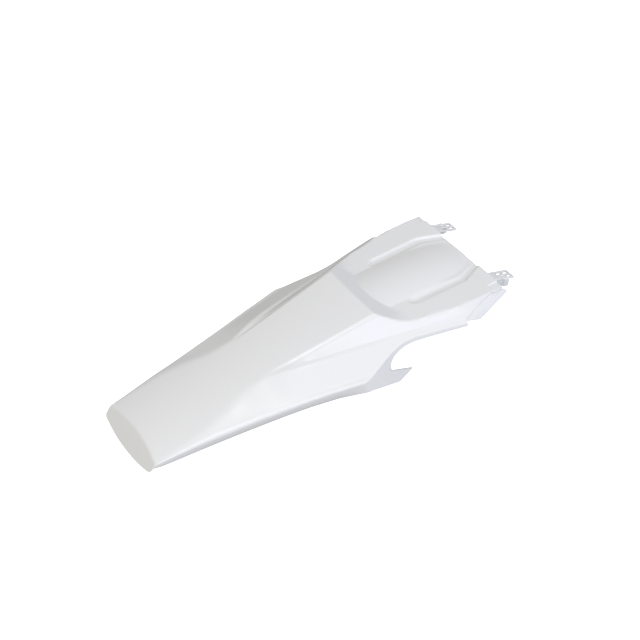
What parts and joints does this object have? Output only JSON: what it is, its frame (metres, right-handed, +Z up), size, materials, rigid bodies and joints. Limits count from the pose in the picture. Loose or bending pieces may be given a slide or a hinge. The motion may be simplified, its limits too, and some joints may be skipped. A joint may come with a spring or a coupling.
{
  "type": "motorcycle rear fender",
  "caption": "Long moulded rear fender of an off-road motorcycle: tapered crowned tail, flared side flanks, stepped seat pan with channels, side lugs and lattice fixing tabs.",
  "frame": {"origin": "floor point below the middle of the box, as the fender lies on the lip of its tail and on its two side lugs", "axes": "+X along the fender to its front, +Y to the left, +Z up"},
  "size_m": [0.604, 0.2314, 0.0966],
  "materials": {
    "shell": "glossy white polypropylene"
  },
  "bodies": {
    "root": {"rear_fender": "shell"}
  },
  "joints": []
}
